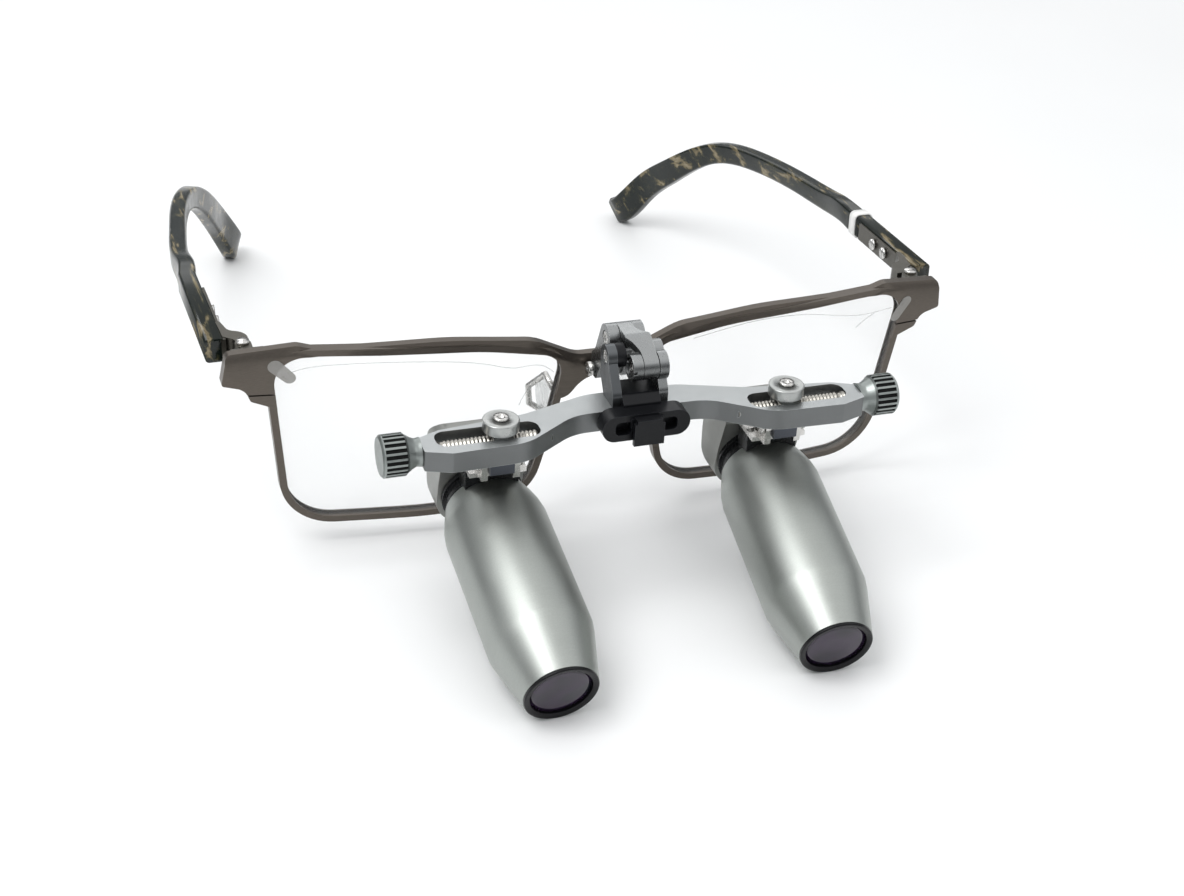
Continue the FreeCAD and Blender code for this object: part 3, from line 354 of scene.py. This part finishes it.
def steel(name="bright_steel", color=(0.62, 0.61, 0.59), rough=0.24):
    p = Paint(name, color, metallic=1.0, rough=rough)
    fine = p.noise(0.00025, detail=3.0)
    base = p.vary_color(fine, 0.12)
    p.paint(base)
    p.vary_rough(p.noise(0.001), rough - 0.06, rough + 0.1)
    p.bump(fine, 0.000008)
    return p.mat


def white_band():
    p = Paint("band_white", (0.84, 0.84, 0.82), rough=0.45)
    p.vary_color(p.noise(0.002, detail=4.0), 0.06)
    p.bump(p.noise(0.0003), 0.000015)
    return p.mat


# Edge factors below lighten convex edges as a painted highlight; side-face factors under 1 darken sideways
# faces as painted shade; the knob's dark colour is painted shade in its grooves.
paints = {
    "frame": gunmetal(),
    "plate": satin("temple_plate", (0.085, 0.08, 0.068), rough=0.34, metallic=0.85),
    "lens": lens_glass(),
    "acetate": acetate(),
    "band": white_band(),
    "steel": steel(),
    "thread": steel("thread_steel", (0.42, 0.405, 0.37), 0.3),
    "pad": silicone(),
    "link": satin("linkage_satin", (0.33, 0.34, 0.342), rough=0.27, edge=2.0, flank_shade=0.5),
    "arm": satin("arm_satin", (0.13, 0.138, 0.144), rough=0.32, edge=2.4, flank_shade=0.6),
    "bar": satin("bar_blasted", (0.42, 0.437, 0.44), rough=0.36, grain=0.0002,
                 height=0.000016, edge=1.35, flank_shade=0.4),
    "disc": satin("disc_satin", (0.42, 0.43, 0.42), rough=0.3, edge=1.4),
    "knob": fluted("knob_fluted", (0.30, 0.325, 0.315), (0.012, 0.012, 0.012)),
    "black": satin("black_anodised", (0.007, 0.0075, 0.009), rough=0.34, metallic=0.2, tint=0.2, edge=5.0,
                   specular=0.3),
    "ring": satin("ring_black", (0.006, 0.006, 0.007), rough=0.24, metallic=0.2, tint=0.2, edge=5.0,
                  specular=0.3),
    "neck": satin("neck_black", (0.016, 0.017, 0.018), rough=0.28, metallic=0.6, tint=0.2, edge=4.0),
    "block": satin("block_dark", (0.075, 0.082, 0.098), rough=0.38, metallic=0.6, edge=1.8),
    "housing": satin("housing_grey", (0.27, 0.275, 0.26), rough=0.36, metallic=0.6, edge=1.5),
    "optic": coated_glass(),
    "tab": film("film_tab", (0.36, 0.35, 0.33), 0.75),
    "film_edge": film("film_edge", (0.50, 0.52, 0.51), 0.3),
    "barrel_left": turned_metal("barrel_turned_left", (0.40, 0.42, 0.40), 1),
    "barrel_right": turned_metal("barrel_turned_right", (0.40, 0.42, 0.40), -1),
}

NODE_PAINT = {
    "front_frame": "frame", "hinge_screws": "steel", "bracket_screw": "steel",
    "rear_pivot_pin": "steel", "bridge_bracket": "link",
    "pivot_link": "link", "yoke_arm": "arm", "yoke_plate": "link", "front_pivot_screw": "steel",
    "pivot_ring": "link", "stop_boss": "black", "stop_screw": "steel", "bar_saddle": "black",
    "crossbar": "bar", "light_mount": "black", "temple_band": "band",
}
SIDE_PAINT = {
    "lens": "lens", "hinge_plate": "plate", "pad_arm": "steel", "nose_pad": "pad", "temple_core": "plate",
    "temple_sleeve": "acetate", "temple_rivets": "steel", "knob": "knob", "lead_screw": "thread",
    "slider": "disc", "slider_disc": "disc", "slider_screw": "steel", "hinge_block": "block",
    "hinge_pin": "steel", "barrel_bracket": "steel", "neck_ring": "neck", "objective_ring": "ring",
    "objective_lens": "optic", "prism_housing": "housing", "prism": "lens", "eyepiece_lens": "optic",
}


# ---------------------------------------------------------------- CAD nodes: paint and soft edges
SOFT_EDGE = {
    "front_frame": 0.22, "crossbar": 0.28, "light_mount": 0.22, "yoke_arm": 0.18, "yoke_plate": 0.18,
    "pivot_link": 0.2, "bridge_bracket": 0.2, "bar_saddle": 0.2, "hinge_plate": 0.15, "temple_core": 0.15,
    "hinge_block": 0.2, "barrel_bracket": 0.15, "slider": 0.1, "pivot_ring": 0.12, "knob": 0.06,
    "neck_ring": 0.1, "stop_boss": 0.15, "prism_housing": 0.2, "barrel": 0.06, "objective_ring": 0.04,
}


def finish_nodes():
    for name, obj in nodes.items():
        stem = name.rsplit("_", 1)[0] if name.endswith(("_left", "_right")) else name
        key = NODE_PAINT.get(name) or SIDE_PAINT.get(stem) or name
        obj.data.materials.clear()
        obj.data.materials.append(paints[key])
        weld = obj.modifiers.new("weld", "WELD")
        weld.merge_threshold = WELD_DISTANCE
        width = SOFT_EDGE.get(name, SOFT_EDGE.get(stem, 0.0))
        if width:
            bevel = obj.modifiers.new("edge", "BEVEL")
            bevel.width = width * MM
            bevel.segments = 2
            bevel.limit_method = "ANGLE"
            bevel.angle_limit = math.radians(EDGE_ANGLE)
            bevel.use_clamp_overlap = True
            bevel.harden_normals = True
        smooth(obj, BARREL_SMOOTH_ANGLE if stem == "barrel" else SMOOTH_ANGLE)


def smooth(obj, degrees):
    """Smooth shading below an edge angle."""
    mesh = obj.data
    if mesh.has_custom_normals:
        with bpy.context.temp_override(object=obj, active_object=obj, selected_objects=[obj]):
            bpy.ops.mesh.customdata_custom_splitnormals_clear()
    mesh.shade_smooth()
    mesh.set_sharp_from_angle(angle=math.radians(degrees))


# ---------------------------------------------------------------- extra pieces
def mesh_object(name, verts, faces, paint, body, sharp=40):
    mesh = bpy.data.meshes.new(name)
    mesh.from_pydata([Vector(v) * MM for v in verts], [], faces)
    mesh.update()
    bm = bmesh.new()
    bm.from_mesh(mesh)
    bmesh.ops.recalc_face_normals(bm, faces=bm.faces)
    bm.to_mesh(mesh)
    bm.free()
    obj = bpy.data.objects.new(name, mesh)
    bpy.context.scene.collection.objects.link(obj)
    mesh.materials.append(paint)
    smooth(obj, sharp)
    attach(obj, body)
    return obj


def tube(name, points, radius, paint, body):
    """Smooth round wire along points, in millimetres."""
    curve = bpy.data.curves.new(name, "CURVE")
    curve.dimensions = "3D"
    curve.bevel_depth = radius * MM
    curve.bevel_resolution = 5
    curve.use_fill_caps = True
    spline = curve.splines.new("NURBS")
    spline.points.add(len(points) - 1)
    for point, place in zip(spline.points, points):
        point.co = (*(Vector(place) * MM), 1.0)
    spline.order_u = 4
    spline.use_endpoint_u = True
    spline.resolution_u = 12
    curve.materials.append(paint)
    obj = bpy.data.objects.new(name, curve)
    bpy.context.scene.collection.objects.link(obj)
    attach(obj, body)
    return obj


def ring_piece(name, side, profile, paint, segments=96):
    """Ring on the barrel's axis; profile = (distance behind the objective's front, radius) in mm."""
    side_name = "left" if side > 0 else "right"
    low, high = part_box("objective_ring_" + side_name)
    axis = Vector((side * math.sin(BARREL_TOE) * math.cos(BARREL_DROP),
                   math.cos(BARREL_TOE) * math.cos(BARREL_DROP), math.sin(BARREL_DROP)))
    across = axis.cross(Vector((0, 0, 1))).normalized()
    up = across.cross(axis).normalized()
    half = (high.z - low.z) / 2 / MM
    nose = Vector(((low.x + high.x) / 2 / MM, (low.y + high.y) / 2 / MM, (low.z + high.z) / 2 / MM))
    depth = (half - OBJECTIVE_RADIUS * math.cos(BARREL_DROP)) / math.sin(BARREL_DROP)
    nose -= axis * depth
    verts = []
    for k in range(segments):
        angle = 2 * math.pi * k / segments
        radial = across * math.cos(angle) + up * math.sin(angle)
        for along, radius in profile:
            verts.append(nose + axis * along + radial * radius)
    count = len(profile)
    faces = []
    for k in range(segments):
        following = (k + 1) % segments
        for i in range(count):
            j = (i + 1) % count
            faces.append((k * count + i, k * count + j, following * count + j, following * count + i))
    return mesh_object(name, verts, faces, paint, "scope_" + side_name)


def front_place(x, z, behind):
    """Point on the bowed spectacle front, x across from its middle and behind its surface, in mm."""
    low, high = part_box("crossbar")
    middle = (low.x + high.x) / 2 / MM
    low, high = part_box("rear_pivot_pin")
    pivot = (low.y + high.y) / 2 / MM
    bow = FRONT_BOW - math.sqrt(FRONT_BOW ** 2 - x * x)
    return Vector((middle + x, pivot + PIVOT_TO_FRONT + bow - FRONT_LEAN * (z - LEAN_HEIGHT) + behind, z))


def film_tab(name, start, end, start_half, end_half):
    """Thin tab of film with a round end at start, narrowing towards end on the lens."""
    along = Vector((end[0] - start[0], end[1] - start[1]))
    heading = math.atan2(along.y, along.x)
    outline = []
    for k in range(15):
        angle = heading + math.pi / 2 + math.pi * k / 14
        outline.append((start[0] + start_half * math.cos(angle), start[1] + start_half * math.sin(angle)))
    for k in range(9):
        angle = heading - math.pi / 2 + math.pi * k / 8
        outline.append((end[0] + end_half * math.cos(angle), end[1] + end_half * math.sin(angle)))
    count = len(outline)
    verts = [front_place(x, z, depth) for depth in (FILM_FACE, FILM_BACK) for x, z in outline]
    faces = [tuple(range(count)), tuple(range(2 * count - 1, count - 1, -1))]
    for k in range(count):
        j = (k + 1) % count
        faces.append((k, k + count, j + count, j))
    return mesh_object(name, verts, faces, paints["tab"], "front")


def film_line(name, places):
    points = [front_place(x, z, FILM_LINE_DEPTH) for x, z in places]
    return tube(name, points, FILM_LINE_RADIUS, paints["film_edge"], "front")


def build_extras():
    for name, side in SIDES:
        ring_piece("retaining_ring_" + name, side,
                   [(0.10, 5.92), (0.14, 5.78), (0.22, 5.74), (0.32, 5.78), (0.20, 5.98)],
                   paints["steel"])
    film_tab("film_tab_right", (-61.0, 41.1), (-58.6, 38.6), 1.35, 1.15)
    film_tab("film_tab_left", (62.3, 40.3), (60.4, 36.9), 1.05, 0.95)
    film_line("film_edge_left", [(59.5, 38.9), (54.0, 38.2), (50.5, 38.6), (46.0, 39.5), (41.0, 40.7),
                                 (35.7, 41.1), (28.7, 41.1), (23.0, 40.0), (17.0, 38.9)])
    film_line("film_edge_right", [(-58.4, 39.3), (-56.0, 40.3), (-52.0, 40.5), (-45.7, 40.5), (-35.7, 40.0),
                                  (-24.3, 38.8), (-19.3, 36.8), (-16.7, 36.7), (-14.0, 37.2), (-11.8, 36.7),
                                  (-10.2, 35.0)])
    film_line("film_crease_left", [(55.7, 38.3), (53.6, 37.2), (52.1, 35.6)])
    film_line("film_crease_right", [(-12.4, 35.2), (-14.6, 32.5), (-15.8, 30.2), (-16.4, 28.2)])


finish_nodes()
build_extras()


# ---------------------------------------------------------------- floor, lights, camera
def build_stage():
    p = Paint("floor_pale", (0.86, 0.866, 0.868), rough=0.45, specular=0.3)
    p.vary_color(p.noise(0.3, detail=2.0), 0.008)
    p.vary_rough(p.noise(0.05), 0.4, 0.5)
    bpy.ops.mesh.primitive_plane_add(size=FLOOR_SIZE, location=(0, 0, 0))
    floor = bpy.context.object
    floor.name = "floor"
    floor.data.materials.append(p.mat)
    bpy.context.scene.view_settings.view_transform = "Standard"


def build_world():
    """Soft studio sky, dark near the horizon and white overhead, for contrast on the metal."""
    world = bpy.data.worlds.new("studio")
    bpy.context.scene.world = world
    world.use_nodes = True
    tree = world.node_tree
    coords = tree.nodes.new("ShaderNodeTexCoord")
    split = tree.nodes.new("ShaderNodeSeparateXYZ")
    tree.links.new(coords.outputs["Generated"], split.inputs[0])
    ramp = tree.nodes.new("ShaderNodeValToRGB")
    stops = [(0.0, (0.2, 0.205, 0.21, 1)), (0.25, (0.3, 0.31, 0.32, 1)), (0.7, (0.95, 0.96, 0.97, 1)),
             (1.0, (1.0, 1.0, 1.0, 1))]
    while len(ramp.color_ramp.elements) < len(stops):
        ramp.color_ramp.elements.new(0.5)
    for element, (place, color) in zip(ramp.color_ramp.elements, stops):
        element.position = place
        element.color = color
    tree.links.new(split.outputs["Z"], ramp.inputs["Fac"])
    back = tree.nodes["Background"]
    tree.links.new(ramp.outputs["Color"], back.inputs["Color"])
    back.inputs["Strength"].default_value = 1.06


def area_light(name, place, target, size, power, color=(1, 1, 1)):
    data = bpy.data.lights.new(name, "AREA")
    data.shape = "RECTANGLE"
    data.size, data.size_y = size
    data.energy = power
    data.color = color
    light = bpy.data.objects.new(name, data)
    light.location = place
    light.rotation_euler = (Vector(target) - Vector(place)).to_track_quat("-Z", "Y").to_euler()
    bpy.context.scene.collection.objects.link(light)


def build_camera():
    data = bpy.data.cameras.new("camera")
    data.lens = LENS_FOCAL
    data.sensor_width = 36.0
    data.sensor_fit = "HORIZONTAL"
    data.clip_start = 0.01
    data.clip_end = 20.0
    camera = bpy.data.objects.new("camera", data)
    a, e, r = CAMERA_AZIMUTH, CAMERA_ELEVATION, CAMERA_ROLL
    back = Vector((math.sin(a) * math.cos(e), -math.cos(a) * math.cos(e), math.sin(e)))
    right = Vector((0, 0, 1)).cross(back).normalized()
    up = back.cross(right)
    x = right * math.cos(r) + up * math.sin(r)
    y = up * math.cos(r) - right * math.sin(r)
    turn = Matrix((x, y, back)).transposed().to_4x4()
    camera.matrix_world = Matrix.Translation(Vector(CAMERA_AT) * MM) @ turn
    bpy.context.scene.collection.objects.link(camera)
    bpy.context.scene.camera = camera


build_stage()
build_world()
area_light("key", (-0.35, -0.12, 0.62), (0, -0.05, 0.02), (0.4, 0.4), 2.5)
area_light("fill", (0.6, -0.5, 0.45), (0, 0, 0), (0.5, 0.5), 0.5)
area_light("back", (0.1, 0.75, 0.5), (0, 0, 0.02), (0.9, 0.3), 0.9)
build_camera()
